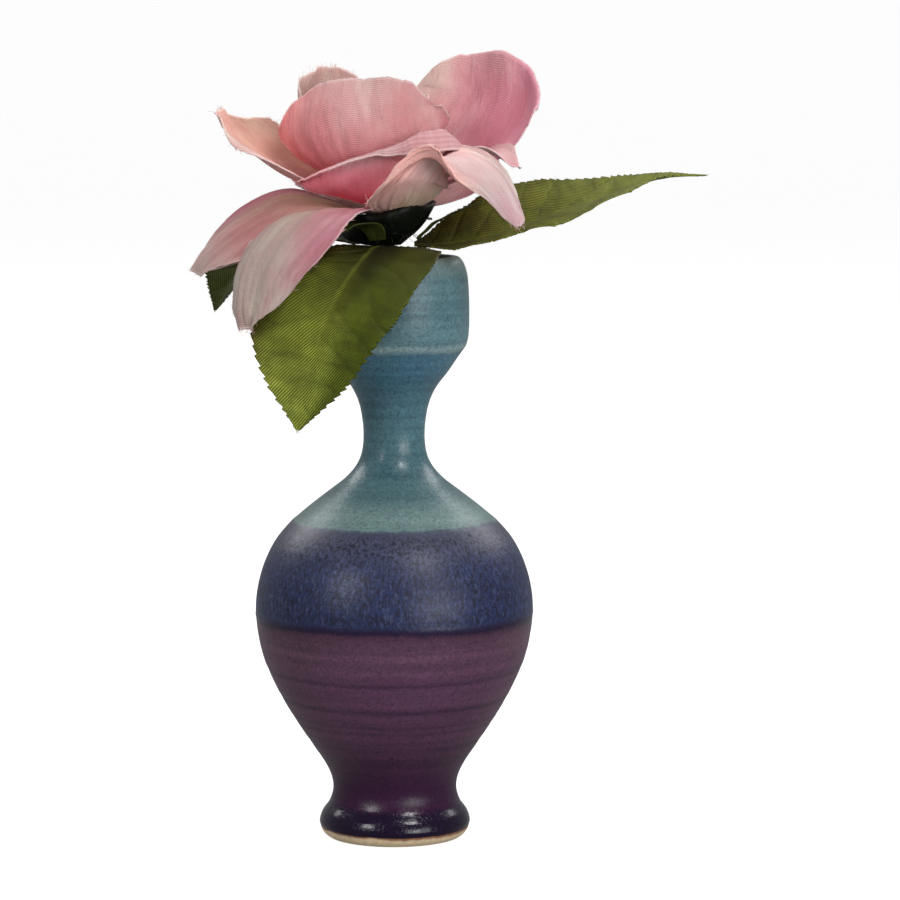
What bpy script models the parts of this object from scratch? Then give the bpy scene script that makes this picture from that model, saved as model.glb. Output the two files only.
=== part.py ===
"""A wheel-thrown stoneware bud vase holding one artificial rose.

The vase is one fired piece of clay, so it is one turned solid with its real hollow inside.
The rose is an assembly: a plastic-covered wire stem, a leaf collar with three wired leaves,
a calyx cup with sepals, a receptacle, and petals of stiffened cloth in rings round a bud.

Frame: the origin is the centre of the flat foot, +Z is up and -Y is the front.
Sizes are written in millimetres and turned into Blender's metres by MM. An azimuth is in
degrees round the rose's stem: 0 is +X, 90 the back, 180 -X and 270 the front.
"""

import math

import bpy
from mathutils import Vector

MM = 0.001
GAP = 0.3

# The vase
VASE_HEIGHT = 150.0
FLOOR_THICKNESS = 5.5
VASE_SIDES = 36

# The rose's stem stands on the vase's floor, a little to the left of the neck's middle
STEM_X = -2.8
STEM_FOOT = FLOOR_THICKNESS + GAP
WIRE_RADIUS = 0.6
SLEEVE_RADIUS = 1.6
SLEEVE_BORE = WIRE_RADIUS + GAP
STEM_SIDES = 12

# The leaf collar, threaded on the stem just above the vase's mouth
COLLAR_BOTTOM = 149.7
COLLAR_TOP = 152.3
COLLAR_RADIUS = 3.8
COLLAR_BORE = SLEEVE_RADIUS + GAP
SOCKET_RADIUS = 0.95
SOCKET_DEPTH = 1.2
PETIOLE_RADIUS = 0.65
PETIOLE_HEIGHT = 151.0
# Stations of a petiole after its socket: out from the stem, share of the leaf's own sideways
# shift there, and share of the full radius
PETIOLE_ROUTE = ((8.0, 0.35, 1.0), (13.0, 0.85, 0.6))

# The calyx cup sits on the sleeve's top and holds the receptacle, which is pushed on the bare wire
SLEEVE_TOP = COLLAR_TOP
CUP_BOTTOM = SLEEVE_TOP + GAP
CUP_WALL = 0.9
RECEPTACLE_BOTTOM = CUP_BOTTOM + CUP_WALL + 0.4
RECEPTACLE_TOP = 168.0
RECEPTACLE_RADIUS = 4.4
WIRE_TOP = 163.0
BUD_TOP = 187.0

CLOTH_THICKNESS = 0.4
SEPAL_THICKNESS = 0.5

# Height and radius of the vase's outside, from the lip down to the foot
OUTSIDE = (
    (VASE_HEIGHT, 15.6), (149.2, 17.3), (144.5, 18.8), (131.0, 19.2), (127.0, 18.4), (120.0, 13.5),
    (112.5, 9.1), (104.0, 7.8), (97.0, 9.1), (92.0, 13.4), (86.0, 21.2), (78.0, 29.4), (70.0, 33.8),
    (60.0, 35.6), (50.0, 34.6), (39.0, 30.3), (27.0, 23.1), (17.0, 16.9), (12.2, 15.9), (8.0, 17.3),
    (3.6, 19.3), (0.9, 18.0), (0.0, 16.6),
)

# Height and radius of the hollow, from the floor up to the lip
INSIDE = (
    (FLOOR_THICKNESS, 9.0), (9.0, 12.5), (17.0, 13.5), (27.0, 19.6), (39.0, 26.8), (50.0, 31.2),
    (60.0, 32.3), (70.0, 30.4), (78.0, 25.9), (86.0, 17.4), (92.0, 9.6), (97.0, 5.8), (104.0, 5.0),
    (112.5, 6.1), (120.0, 9.8), (127.0, 14.8), (131.0, 15.8), (144.5, 15.4), (149.0, 13.6),
)

# A thin piece is its azimuth, the fall of its rim and its stations, from where it is fixed to its tip.
# The fall is how much shorter the piece is at its two edges than in the middle, as shares of its length,
# and the power of that fall. A piece with no fall is a leaf: pointed, and folded along its midrib.
# A station is (out from the stem's axis, height, sideways, half the width, cup, roll), with the last
# two in degrees: cup bends both halves to the upper face, and roll turns them about the middle line.
PETALS = {
    "bud_petal_1": (20, (0.2, 0.2, 2.5), (
        (3.4, 169, 0, 2.5, 40, 0), (5.6, 174, 0, 6, 62, 8), (6.2, 181, 0, 7, 60, 10),
        (4.6, 187, 0, 5, 50, 10))),
    "bud_petal_2": (140, (0.2, 0.2, 2.5), (
        (3.4, 169, 0, 2.5, 40, 0), (5.6, 174, 0, 6, 62, 8), (6.2, 181, 0, 7, 60, 10),
        (4.6, 188, 0, 5, 50, 10))),
    "bud_petal_3": (260, (0.2, 0.2, 2.5), (
        (3.4, 169, 0, 2.5, 40, 0), (5.6, 174, 0, 6, 62, 8), (6.2, 181, 0, 7, 60, 10),
        (4.6, 186, 0, 5, 50, 10))),
    "inner_petal_1": (265, (0.46, 0.56, 3), (
        (5, 165, 0, 2.3, 20, 0), (11.5, 171, -2, 16, 48, 0), (14.5, 179, -3.5, 24.5, 52, 0),
        (14.5, 188, -4, 26.5, 52, 0), (12.5, 195.8, -3, 24, 50, 0))),
    "inner_petal_2": (140, (0.2, 0.3, 2.5), (
        (5, 165, 0, 2.3, 20, 0), (12, 170, 0, 8, 30, 0), (17, 180, 1, 14, 30, 0),
        (18, 190, 2, 16, 30, 0), (17, 198, 2, 14, 25, 0))),
    "inner_petal_3": (15, (0.28, 0.28, 2.5), (
        (5, 165.2, 0, 2, 20, 0), (9.5, 171, 0, 8, 45, 10), (11.5, 180, 0, 11, 50, 16),
        (10, 191, 0, 9, 45, 16))),
    "inner_petal_4": (84, (0.28, 0.28, 2.5), (
        (5, 165.5, 0, 2, 20, 0), (9.5, 171, 0, 8, 45, 10), (12.5, 180, 0, 12, 50, 16),
        (11, 192, 0, 10, 45, 16))),
    "middle_petal_1": (262, (0.64, 0.15, 1.1), (
        (6, 162.6, 0, 3, 10, 0), (12, 166.5, 0, 16, 25, 0), (17, 172.5, 0, 23.5, 40, 0),
        (19.5, 178.5, -0.5, 22.5, 42, 0), (21, 184.5, 2, 20, 40, 0))),
    "middle_petal_2": (346, (0.28, 0.28, 2.5), (
        (6, 163.4, 0, 2.6, 10, 0), (14, 168.2, 0.6, 5, 15, 0), (22, 173.7, 1.5, 6, 15, 0),
        (30, 176.5, -3, 8, 15, 0), (37, 173, -6, 5, 10, 0))),
    "middle_petal_3": (60, (0.26, 0.3, 3), (
        (6, 163.8, 0, 2.8, 10, 0), (13.5, 169, -3, 12, 20, 0), (22, 178, -8, 22, 28, 0),
        (29, 190, -12, 24, 32, 0), (32, 201, -11.5, 23, 28, 0))),
    "middle_petal_4": (180, (0.3, 0.3, 2.5), (
        (6, 163.4, 0, 2.8, 10, -10), (14, 165.8, 0, 7, 40, -25), (25, 170, 0, 13, 52, -28),
        (33, 175, 0, 13.5, 52, -28), (38.5, 180.5, 0, 11, 45, -28), (41, 186, 0, 6, 35, -25))),
    "middle_petal_5": (122, (0.28, 0.28, 2.5), (
        (6, 162.8, 0, 2.8, 10, 0), (14, 165.4, 0, 10, 20, 0), (24, 168.5, 0, 16, 30, 0),
        (33, 174, 0, 15, 30, 0), (38, 181, 0, 9, 25, 0))),
    "outer_petal_1": (300, (0.28, 0.28, 2.5), (
        (6.5, 160.8, 0, 3, 5, 0), (15.5, 163.8, -3, 10, 15, 0), (24.2, 169.5, -4.2, 11.8, 20, 0),
        (28, 175.5, 1.5, 8.5, 10, 0), (34, 171, 11, 6.5, -15, 0), (39.5, 158, 17.5, 3.5, -15, 0))),
    "outer_petal_2": (178, (0.28, 0.28, 2.5), (
        (6.5, 161.2, 0, 2.8, 5, 0), (15, 163.6, 0, 8, 5, 0), (25, 164.4, 0, 12, 0, -8),
        (36, 159.5, 0, 13, -15, -14), (44.5, 152, 0, 11, -20, -14), (48.5, 145.5, 0, 5, -20, -14))),
    "outer_petal_3": (222, (0.28, 0.28, 2.5), (
        (6.5, 160.8, 0, 2.8, 5, 4), (18, 161.6, -1, 12, -5, 10), (30, 160, -2, 17, -20, 12),
        (41, 150, -1, 16.5, -30, 8), (47.5, 138, 2, 10, -30, 0), (48.5, 132, 3, 4, -30, 0))),
    "outer_petal_4": (105, (0.28, 0.28, 2.5), (
        (6.5, 160.8, 0, 2.8, 5, 0), (16, 162, 0, 10, 10, 6), (28, 164, 0, 17, 15, 6),
        (38, 171, 0, 17, 20, 0), (42, 181, 0, 10, 15, 0))),
    "outer_petal_5": (54, (0.28, 0.28, 2.5), (
        (6.5, 160.8, 0, 2.8, 5, 0), (16, 163.2, 0, 9, 10, 8), (26, 166.5, 0, 14, 15, 6),
        (34, 171.5, 0, 13, 10, 0), (39, 178, 0, 8, 0, 0))),
}

LEAVES = {
    "leaf_front": (250, None, (
        (8, 152.4, 2, 3, 8, 0), (15, 152.6, 4, 13, 8, 0), (22, 152.2, 5, 19, 10, 0),
        (30.4, 146.5, 2.3, 20, 12, 0), (36, 136.5, -2, 19.5, 14, 0), (40.5, 122, -4.8, 12.5, 14, 0),
        (42.5, 109, -6.2, 0.6, 10, 0))),
    "leaf_right": (0, None, (
        (8, 152.4, 0, 3, 10, 8), (15, 152.4, 0, 11, 16, 18), (24, 153.8, 0, 15.5, 18, 20),
        (35, 157.2, 0, 16.5, 19, 22), (46, 161.2, 0, 15, 12, 20), (60.8, 166.2, 0, 11, 10, 10),
        (71, 169.4, 0, 5.5, 12, 4), (82.2, 170.2, 0, 0.6, 8, 0))),
    "leaf_left": (148, None, (
        (8, 152.4, 0, 3, 10, 0), (22, 154, 0, 14, 12, 0), (35, 151, 0, 17.5, 14, 0),
        (45.5, 144, 0, 12, 14, 0), (52.5, 134, 0, 0.6, 10, 0))),
}

SEPALS = {
    "sepal_1": (350, (0.1, 0.1, 2), (
        (9.2, 154.2, 0, 2.2, 5, 0), (13.2, 158, 0, 2.8, 5, 0), (19, 161, 0, 2.2, 5, 0),
        (26, 163.8, 0, 1.2, 0, 0))),
    "sepal_2": (62, (0.1, 0.1, 2), (
        (9.2, 154.2, 0, 2.2, 5, 0), (13.2, 157.6, 0, 2.8, 5, 0), (19, 158.8, 0, 2.2, 5, 0),
        (26, 158, 0, 0.8, 0, 0))),
    "sepal_3": (128, (0.1, 0.1, 2), (
        (9.2, 154.2, 0, 2.2, 5, 0), (13.2, 157.6, 0, 2.8, 5, 0), (19, 158.8, 0, 2.2, 5, 0),
        (26, 158, 0, 0.8, 0, 0))),
    "sepal_4": (192, (0.1, 0.1, 2), (
        (9.2, 154.2, 0, 2.2, 5, 0), (13.2, 157.2, 0, 2.8, 5, 0), (17, 157.6, 0, 2.2, 5, 0),
        (21.5, 156, 0, 0.8, 0, 0))),
    "sepal_5": (262, (0.1, 0.1, 2), (
        (9.2, 154.2, 0, 2.2, 5, 0), (13.2, 157.6, -1, 3, 5, 0), (17.5, 158.5, -6, 2.6, 0, 0),
        (20, 156, -12, 1, 0, 0))),
}

# Columns over the width and rows along the length
PETAL_GRID = (6, 7)
LEAF_GRID = (6, 10)
SEPAL_GRID = (2, 6)

COLOURS = {
    "stoneware": ((0.16, 0.12, 0.20), 0.35, 0.0),
    "steel": ((0.45, 0.45, 0.46), 0.4, 1.0),
    "green_plastic": ((0.06, 0.14, 0.03), 0.5, 0.0),
    "leaf_cloth": ((0.05, 0.12, 0.02), 0.6, 0.0),
    "petal_cloth": ((0.85, 0.45, 0.50), 0.75, 0.0),
}


def clear_scene():
    for item in list(bpy.data.objects):
        bpy.data.objects.remove(item, do_unlink=True)


def new_collection(name):
    collection = bpy.data.collections.new(name)
    bpy.context.scene.collection.children.link(collection)
    return collection


def new_material(name, colour, roughness, metallic):
    material = bpy.data.materials.new(name)
    material.use_nodes = True
    shader = material.node_tree.nodes["Principled BSDF"]
    shader.inputs["Base Color"].default_value = (*colour, 1.0)
    shader.inputs["Roughness"].default_value = roughness
    shader.inputs["Metallic"].default_value = metallic
    return material


def add_object(name, data, look, collection, parent=None):
    """Link an object with a material of its own, coloured as its look says."""
    item = bpy.data.objects.new(name, data)
    data.materials.append(new_material(name, *COLOURS[look]))
    collection.objects.link(item)
    item.parent = parent
    return item


def smooth_station(stations, along):
    """Catmull-Rom curve through the stations; along runs from 0 at the first to 1 at the last."""
    place = along * (len(stations) - 1)
    index = min(int(place), len(stations) - 2)
    before = stations[max(index - 1, 0)]
    start = stations[index]
    end = stations[index + 1]
    after = stations[min(index + 2, len(stations) - 1)]
    u = place - index
    values = []
    for a, b, c, d in zip(before, start, end, after):
        bend = (2 * a - 5 * b + 4 * c - d) * u ** 2 + (3 * b - a - 3 * c + d) * u ** 3
        values.append(b + 0.5 * ((c - a) * u + bend))
    return values


def middle_point(azimuth, station):
    """Place of a station's middle, counted from the stem's axis."""
    out, height, sideways = station[:3]
    turn = math.radians(azimuth)
    x = out * math.cos(turn) - sideways * math.sin(turn)
    y = out * math.sin(turn) + sideways * math.cos(turn)
    return Vector((x, y, height))


def bent_point(azimuth, fall, stations, across, along):
    """Point of a thin piece; across runs from -1 to 1 over its width, and along from 0 to 1."""
    folded = fall is None
    if not folded:
        low_side, high_side, power = fall
        along *= 1 - (high_side if across > 0 else low_side) * abs(across) ** power
    station = smooth_station(stations, along)
    half_width, cup, roll = station[3], math.radians(station[4]), math.radians(station[5])
    ahead = middle_point(azimuth, smooth_station(stations, min(along + 0.01, 1.0)))
    behind = middle_point(azimuth, smooth_station(stations, max(along - 0.01, 0.0)))
    forward = (ahead - behind).normalized()
    side = Vector((-math.sin(math.radians(azimuth)), math.cos(math.radians(azimuth)), 0.0))
    inward = forward.cross(side).normalized()
    side = inward.cross(forward)
    side, inward = (side * math.cos(roll) + inward * math.sin(roll),
                    inward * math.cos(roll) - side * math.sin(roll))
    if folded:
        sideways = half_width * across * math.cos(cup)
        rise = half_width * abs(across) * math.sin(cup)
    elif abs(cup) < 0.001:
        sideways = half_width * across
        rise = 0.0
    else:
        sideways = half_width * math.sin(cup * across) / cup
        rise = half_width * (1 - math.cos(cup * across)) / cup
    return middle_point(azimuth, station) + side * sideways + inward * rise


def thin_piece(name, design, grid, thickness, look, collection, parent):
    """A petal, leaf or sepal: a flat grid bent to its stations, then given its thickness."""
    azimuth, fall, stations = design
    columns, rows = grid
    bpy.ops.mesh.primitive_grid_add(x_subdivisions=columns, y_subdivisions=rows, size=2)
    flat = bpy.context.object
    mesh = flat.data
    bpy.data.objects.remove(flat)
    for vertex in mesh.vertices:
        point = bent_point(azimuth, fall, stations, vertex.co.x, (vertex.co.y + 1) / 2)
        vertex.co = point * MM
    mesh.shade_smooth()
    item = add_object(name, mesh, look, collection, parent)
    solid = item.modifiers.new("thickness", "SOLIDIFY")
    solid.thickness = thickness * MM
    solid.offset = 0
    return item


def turned_piece(name, profile, sides, look, collection, parent=None, closed=False):
    """A solid turned about its own Z; the profile's (radius, height) points run down the outside."""
    mesh = bpy.data.meshes.new(name)
    points = [(radius * MM, 0, height * MM) for radius, height in profile]
    edges = [(index, index + 1) for index in range(len(points) - 1)]
    if closed:
        edges.append((len(points) - 1, 0))
    mesh.from_pydata(points, edges, [])
    item = add_object(name, mesh, look, collection, parent)
    screw = item.modifiers.new("turned", "SCREW")
    screw.steps = sides
    screw.render_steps = sides
    screw.use_merge_vertices = True
    screw.merge_threshold = 0.00001
    return item


def ring(name, outer, inner, bottom, top, look, collection, parent):
    """A plain tube, with its outer and inner radius and its heights."""
    profile = ((outer, top), (outer, bottom), (inner, bottom), (inner, top))
    return turned_piece(name, profile, STEM_SIDES * 2, look, collection, parent, closed=True)


def make_vase(collection):
    """The pot: from the middle of its floor up the hollow, over the lip and down to the foot."""
    hollow = [(radius, height) for height, radius in INSIDE]
    outside = [(radius, height) for height, radius in OUTSIDE]
    profile = [(0.0, FLOOR_THICKNESS), *hollow, *outside, (0.0, 0.0)]
    turned_piece("vase_body", profile, VASE_SIDES, "stoneware", collection)


def make_stem(collection, stem_axis):
    """The plastic sleeve, and the wire inside it, whose bare end stands up into the head."""
    ring("stem_sleeve", SLEEVE_RADIUS, SLEEVE_BORE, STEM_FOOT, SLEEVE_TOP, "green_plastic",
         collection, stem_axis)
    wire = ((0.0, WIRE_TOP), (WIRE_RADIUS, WIRE_TOP), (WIRE_RADIUS, STEM_FOOT), (0.0, STEM_FOOT))
    turned_piece("stem_wire", wire, STEM_SIDES, "steel", collection, stem_axis)


def cut(item, cutter):
    """Take the cutter's shape out of the item."""
    boolean = item.modifiers.new(cutter.name, "BOOLEAN")
    boolean.operation = "DIFFERENCE"
    boolean.object = cutter
    cutter.hide_render = True
    cutter.display_type = "WIRE"


def make_collar(collection, cutters, head_axis):
    """The collar with one radial socket for each leaf's petiole, and the petioles in them."""
    collar = ring("leaf_collar", COLLAR_RADIUS, COLLAR_BORE, COLLAR_BOTTOM, COLLAR_TOP,
                  "green_plastic", collection, head_axis)
    socket_floor = COLLAR_RADIUS - SOCKET_DEPTH
    for leaf, (azimuth, _, stations) in LEAVES.items():
        direction = Vector((math.cos(math.radians(azimuth)), math.sin(math.radians(azimuth)), 0.0))
        bpy.ops.mesh.primitive_cylinder_add(vertices=STEM_SIDES, radius=SOCKET_RADIUS * MM,
                                            depth=2 * SOCKET_DEPTH * MM)
        cutter = bpy.context.object
        cutter.name = leaf.replace("leaf", "socket")
        for owner in list(cutter.users_collection):
            owner.objects.unlink(cutter)
        cutters.objects.link(cutter)
        cutter.parent = head_axis
        cutter.location = direction * COLLAR_RADIUS * MM + Vector((0, 0, PETIOLE_HEIGHT * MM))
        cutter.rotation_euler = direction.to_track_quat("Z", "Y").to_euler()
        cut(collar, cutter)
        make_petiole(leaf, azimuth, stations, socket_floor + GAP, collection, head_axis)


def make_petiole(leaf, azimuth, stations, start, collection, head_axis):
    """A tapering plastic spur from the collar's socket to under the leaf's midrib."""
    curve = bpy.data.curves.new(leaf.replace("leaf", "petiole"), "CURVE")
    curve.dimensions = "3D"
    curve.bevel_depth = PETIOLE_RADIUS * MM
    curve.bevel_resolution = 2
    curve.use_fill_caps = True
    route = ((start, 0.0, 1.0), *PETIOLE_ROUTE)
    spline = curve.splines.new("POLY")
    spline.points.add(len(route) - 1)
    for point, (out, shift, thickness) in zip(spline.points, route):
        place = middle_point(azimuth, (out, PETIOLE_HEIGHT, shift * stations[1][2])) * MM
        point.co = (*place, 1.0)
        point.radius = thickness
    add_object(curve.name, curve, "green_plastic", collection, head_axis)


def make_head_core(collection, head_axis):
    """The calyx cup, the receptacle that the petals are fixed round, and the bud's core."""
    cup = ((13.0, 159.6), (9.7, 155.6), (6.2, 153.4), (4.6, CUP_BOTTOM), (SLEEVE_BORE, CUP_BOTTOM),
           (SLEEVE_BORE, CUP_BOTTOM + CUP_WALL), (4.4, CUP_BOTTOM + CUP_WALL), (5.8, 154.3),
           (9.1, 156.4), (12.3, 160.1))
    turned_piece("calyx_cup", cup, STEM_SIDES * 2, "green_plastic", collection, head_axis, closed=True)
    receptacle = ((0.0, RECEPTACLE_TOP), (2.6, RECEPTACLE_TOP), (RECEPTACLE_RADIUS, RECEPTACLE_TOP - 2),
                  (RECEPTACLE_RADIUS, 157.0), (3.4, RECEPTACLE_BOTTOM), (SLEEVE_BORE, RECEPTACLE_BOTTOM),
                  (SLEEVE_BORE, WIRE_TOP + GAP), (0.0, WIRE_TOP + GAP))
    turned_piece("receptacle", receptacle, STEM_SIDES, "green_plastic", collection, head_axis)
    core = ((0.0, BUD_TOP), (1.4, BUD_TOP - 1.2), (3.0, BUD_TOP - 5), (3.8, BUD_TOP - 10),
            (2.8, BUD_TOP - 16), (1.6, RECEPTACLE_TOP + GAP), (0.0, RECEPTACLE_TOP + GAP))
    turned_piece("bud_core", core, STEM_SIDES, "petal_cloth", collection, head_axis)


def make_thin_pieces(collection, head_axis):
    """The petals and leaves of stiffened cloth, and the moulded sepals, which bend the same way."""
    for name, design in PETALS.items():
        thin_piece(name, design, PETAL_GRID, CLOTH_THICKNESS, "petal_cloth", collection, head_axis)
    for name, design in LEAVES.items():
        thin_piece(name, design, LEAF_GRID, CLOTH_THICKNESS, "leaf_cloth", collection, head_axis)
    for name, design in SEPALS.items():
        thin_piece(name, design, SEPAL_GRID, SEPAL_THICKNESS, "green_plastic", collection, head_axis)


def axis_empty(name, collection, parent=None):
    empty = bpy.data.objects.new(name, None)
    collection.objects.link(empty)
    empty.parent = parent
    return empty


def main():
    clear_scene()
    parts = new_collection("ceramic_bud_vase")
    cutters = new_collection("cutters")
    make_vase(parts)
    stem_axis = axis_empty("stem_axis", parts)
    stem_axis.location.x = STEM_X * MM
    head_axis = axis_empty("head_axis", parts, stem_axis)
    make_stem(parts, stem_axis)
    make_collar(parts, cutters, head_axis)
    make_head_core(parts, head_axis)
    make_thin_pieces(parts, head_axis)


main()
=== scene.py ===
"""The looks of the ceramic bud vase and its artificial rose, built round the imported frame."""

import math

import bpy
import numpy as np
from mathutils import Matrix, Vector


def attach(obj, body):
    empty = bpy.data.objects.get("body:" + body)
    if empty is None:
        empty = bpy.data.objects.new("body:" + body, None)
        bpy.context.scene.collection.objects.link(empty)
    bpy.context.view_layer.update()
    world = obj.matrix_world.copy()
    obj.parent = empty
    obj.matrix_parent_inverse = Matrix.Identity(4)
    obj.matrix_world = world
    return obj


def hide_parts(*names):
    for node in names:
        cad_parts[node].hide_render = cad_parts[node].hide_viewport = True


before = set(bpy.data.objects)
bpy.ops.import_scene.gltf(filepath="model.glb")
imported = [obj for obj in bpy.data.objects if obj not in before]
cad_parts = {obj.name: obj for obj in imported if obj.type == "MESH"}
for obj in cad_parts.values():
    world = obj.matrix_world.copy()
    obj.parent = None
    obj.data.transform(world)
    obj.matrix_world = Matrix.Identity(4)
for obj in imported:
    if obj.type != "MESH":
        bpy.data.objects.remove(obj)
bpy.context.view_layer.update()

MM = 0.001
TAU = 2 * math.pi
VASE_HEIGHT = 150.0
STEM_X = -2.8  # the stem stands left of the vase's axis, in millimetres like all shapes here

# ---------------------------------------------------------------- camera, floor and light

CAMERA_PLACE = Vector((0.0143, -0.950, 0.202))
CAMERA_TARGET = Vector((0.0143, 0.0, 0.100))
CAMERA_LENS, CAMERA_SENSOR = 149.12, 36.0
LIGHT_TARGET = Vector((0.0, 0.0, 0.10))
# Azimuth (270 is the front) and elevation in degrees, distance, width, height and watts
LIGHTS = {
    "key_left": (228, 24, 1.5, 0.42, 0.42, 6.5), "key_right": (303, 46, 1.5, 0.40, 0.40, 10.0),
    "low_right": (303, 8, 1.6, 0.22, 0.26, 2.4), "front": (308, 7, 2.2, 1.5, 0.8, 17.0),
    "top": (90, 78, 1.5, 1.1, 1.1, 4.5), "back_left": (140, 35, 1.7, 0.7, 0.7, 8.0),
    "back_right": (40, 35, 1.7, 0.7, 0.7, 8.0),
}


def linked(name, data):
    """A new object in the scene."""
    item = bpy.data.objects.new(name, data)
    bpy.context.scene.collection.objects.link(item)
    return item


def aim(item, place, target):
    item.location = place
    item.rotation_euler = (target - place).to_track_quat("-Z", "Y").to_euler()


def make_camera():
    camera = bpy.data.cameras.new("camera")
    camera.lens, camera.sensor_width = CAMERA_LENS, CAMERA_SENSOR
    item = linked("camera", camera)
    aim(item, CAMERA_PLACE, CAMERA_TARGET)
    bpy.context.scene.camera = item


def make_light(name, azimuth, elevation, distance, width, height, watts):
    """A softbox aimed at the vase."""
    light = bpy.data.lights.new(name, "AREA")
    light.shape = "RECTANGLE"
    light.size, light.size_y = width, height
    light.energy = watts
    turn, lift = math.radians(azimuth), math.radians(elevation)
    away = Vector((math.cos(turn) * math.cos(lift), math.sin(turn) * math.cos(lift), math.sin(lift)))
    aim(linked(name, light), LIGHT_TARGET + distance * away, LIGHT_TARGET)


make_camera()
bpy.context.scene.view_settings.view_transform = "Standard"
for light_name, settings in LIGHTS.items():
    make_light(light_name, *settings)


class Look:
    """A procedural material, made by short calls that add and join nodes."""

    def __init__(self, name, **settings):
        self.material = bpy.data.materials.new(name)
        self.material.use_nodes = True
        self.tree = self.material.node_tree
        self.shader = self.tree.nodes["Principled BSDF"]
        for socket, value in settings.items():
            self.put(self.shader.inputs[socket.replace("_", " ")], value)

    def put(self, socket, value):
        if isinstance(value, bpy.types.NodeSocket):
            self.tree.links.new(value, socket)
        elif hasattr(value, "__len__") and len(value) == 3 and socket.type == "RGBA":
            socket.default_value = (*value, 1.0)
        else:
            socket.default_value = value

    def node(self, kind, inputs=(), **properties):
        item = self.tree.nodes.new("ShaderNode" + kind)
        for name, value in properties.items():
            setattr(item, name, value)
        for name, value in dict(inputs).items():
            self.put(item.inputs[name], value)
        return item

    def place(self):
        return self.node("TexCoord").outputs["Object"]

    def cloth(self):
        return self.node("UVMap", uv_map="cloth").outputs["UV"]

    def parts(self, vector):
        return self.node("SeparateXYZ", {0: vector}).outputs

    def math(self, operation, first, second=0.0, third=0.0, clamp=False):
        return self.node("Math", {0: first, 1: second, 2: third}, operation=operation,
                         use_clamp=clamp).outputs[0]

    def times(self, first, second):
        return self.math("MULTIPLY", first, second)

    def scaled(self, vector, scale):
        return self.node("VectorMath", {0: vector, 1: scale}, operation="MULTIPLY").outputs[0]

    def noise(self, vector, scale, detail=2.0, rough=0.5):
        return self.node("TexNoise", {"Vector": vector, "Scale": scale, "Detail": detail,
                                      "Roughness": rough}).outputs["Fac"]

    def cells(self, vector, scale):
        return self.node("TexVoronoi", {"Vector": vector, "Scale": scale}).outputs

    def steps(self, value, low, high, first=0.0, last=1.0):
        """Smooth step from first to last as the value goes from low to high."""
        return self.node("MapRange", {"Value": value, "From Min": low, "From Max": high,
                                      "To Min": first, "To Max": last},
                         interpolation_type="SMOOTHSTEP").outputs[0]

    def ramp(self, value, stops):
        item = self.node("ValToRGB", {0: value})
        row = item.color_ramp.elements
        while len(row) > 1:
            row.remove(row[-1])
        for index, (position, colour) in enumerate(stops):
            stop = row[0] if index == 0 else row.new(position)
            stop.position = position
            stop.color = (*colour, 1.0) if hasattr(colour, "__len__") else (colour,) * 3 + (1.0,)
        return item.outputs["Color"]

    def blend(self, factor, first, second, mode="MIX"):
        item = self.node("Mix", data_type="RGBA", blend_type=mode)
        self.put(item.inputs[0], factor)
        self.put(item.inputs[6], first)
        self.put(item.inputs[7], second)
        return item.outputs[2]

    def toned(self, colour, share, factors):
        """The colour, multiplied by the factors where the share is 1."""
        return self.blend(share, colour, self.blend(1.0, colour, factors, "MULTIPLY"))

    def bump(self, height, distance, strength=1.0):
        """Add a bump layer, its distance in metres, on top of those already there."""
        socket = self.shader.inputs["Normal"]
        layer = self.node("Bump", {"Height": height, "Distance": distance, "Strength": strength})
        if socket.links:
            self.put(layer.inputs["Normal"], socket.links[0].from_socket)
        self.put(socket, layer.outputs["Normal"])

    def colour(self, value):
        self.put(self.shader.inputs["Base Color"], value)

    def roughness(self, value):
        self.put(self.shader.inputs["Roughness"], value)


def make_stage():
    """A pale floor that sweeps up far behind into a plain backdrop on every side."""
    flat, curve, rise, sides = 4.0, 2.0, 3.0, 96
    rings = [(radius, 0.0) for radius in (0.3, 1.0, 2.5, flat)]
    rings += [(flat + curve * math.sin(a), curve * (1 - math.cos(a)))
              for a in np.linspace(0.1, math.pi / 2, 10)]
    rings.append((flat + curve, rise))
    points, faces = [(0.0, 0.0, 0.0)], []
    for radius, height in rings:
        points += [(radius * math.cos(TAU * k / sides), radius * math.sin(TAU * k / sides), height)
                   for k in range(sides)]
    for k in range(sides):
        after = (k + 1) % sides
        faces.append((0, 1 + k, 1 + after))
        for ring in range(len(rings) - 1):
            low, high = 1 + ring * sides, 1 + (ring + 1) * sides
            faces.append((low + k, high + k, high + after, low + after))
    mesh = bpy.data.meshes.new("floor")
    mesh.from_pydata(points, [], faces)
    mesh.shade_smooth()
    item = linked("floor", mesh)
    look = Look("floor", Roughness=0.9, Specular_IOR_Level=0.1, Emission_Strength=0.86)
    grain = look.noise(look.place(), 60, 3)
    look.colour(look.ramp(grain, ((0.3, (0.34, 0.34, 0.34)), (0.7, (0.36, 0.36, 0.36)))))
    look.put(look.shader.inputs["Emission Color"], (1.0, 1.0, 1.0))
    mesh.materials.append(look.material)
    item.visible_diffuse = False
    item.visible_glossy = False

    world = bpy.data.worlds.new("studio")
    world.use_nodes = True
    sky = world.node_tree.nodes["Background"].inputs
    sky["Color"].default_value = (1.0, 1.0, 1.0, 1.0)
    sky["Strength"].default_value = 0.30
    bpy.context.scene.world = world


make_stage()

# ---------------------------------------------------------------- mesh helpers


def add_mesh(name, points, faces, look, body, nodes):
    """Link a mesh given in millimetres, hang it on its body and hide the CAD nodes it stands in for."""
    mesh = bpy.data.meshes.new(name)
    mesh.from_pydata([tuple(point) for point in np.asarray(points) * MM], [], faces)
    mesh.update()
    mesh.shade_smooth()
    mesh.materials.append(look.material)
    item = linked(name, mesh)
    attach(item, body)
    if nodes:
        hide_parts(*nodes)
    return item


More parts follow.
